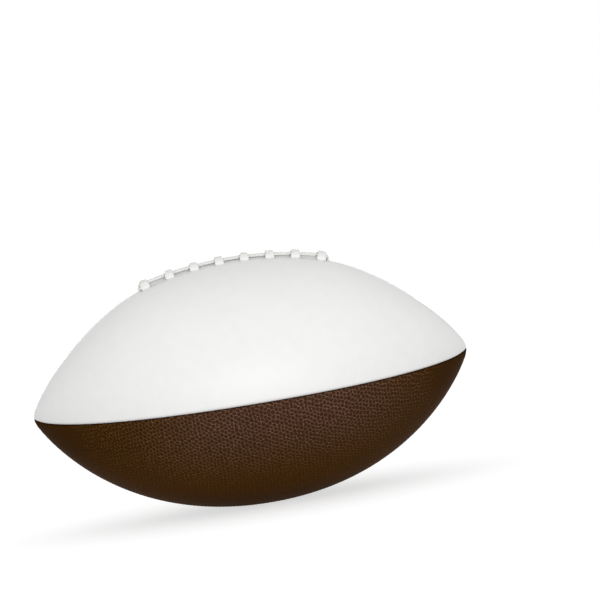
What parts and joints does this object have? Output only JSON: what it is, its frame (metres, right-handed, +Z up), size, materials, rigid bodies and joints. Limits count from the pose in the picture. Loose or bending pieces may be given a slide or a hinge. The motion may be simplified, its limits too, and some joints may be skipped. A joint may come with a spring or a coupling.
{
  "type": "american football",
  "caption": "American football with smooth white upper panels, pebbled dark brown lower panels and raised white lacing over a slot in the top seam, round an air bladder with a needle valve.",
  "frame": {"origin": "centre of the flat that the ball rests on, under the middle of its bottom seam", "axes": "+X along the ball from tip to tip, +Z up through the lacing, -Y towards the side that faces the camera"},
  "size_m": [0.2796, 0.1546, 0.1599],
  "materials": {
    "white_cover": "satin",
    "brown_cover": "satin",
    "lining_cloth": "matte",
    "seam_thread": "matte",
    "facing_vinyl": "matte",
    "tongue_felt": "matte",
    "lace_vinyl": "satin",
    "bladder_rubber": "matte",
    "valve_rubber": "satin",
    "plug_rubber": "satin"
  },
  "bodies": {
    "root": {"upper_front_panel": "white_cover", "upper_rear_panel": "white_cover", "lower_front_panel": "brown_cover", "lower_rear_panel": "brown_cover", "upper_front_lining": "lining_cloth", "upper_rear_lining": "lining_cloth", "lower_front_lining": "lining_cloth", "lower_rear_lining": "lining_cloth", "front_seam_needle_thread": "seam_thread", "front_seam_bobbin_thread": "seam_thread", "rear_seam_needle_thread": "seam_thread", "rear_seam_bobbin_thread": "seam_thread", "bottom_seam_needle_thread": "seam_thread", "bottom_seam_bobbin_thread": "seam_thread", "top_left_seam_needle_thread": "seam_thread", "top_left_seam_bobbin_thread": "seam_thread", "top_right_seam_needle_thread": "seam_thread", "top_right_seam_bobbin_thread": "seam_thread", "front_lace_facing": "facing_vinyl", "rear_lace_facing": "facing_vinyl", "tongue": "tongue_felt", "lace": "lace_vinyl", "bladder": "bladder_rubber", "valve_body": "valve_rubber", "valve_plug": "plug_rubber"}
  },
  "joints": []
}
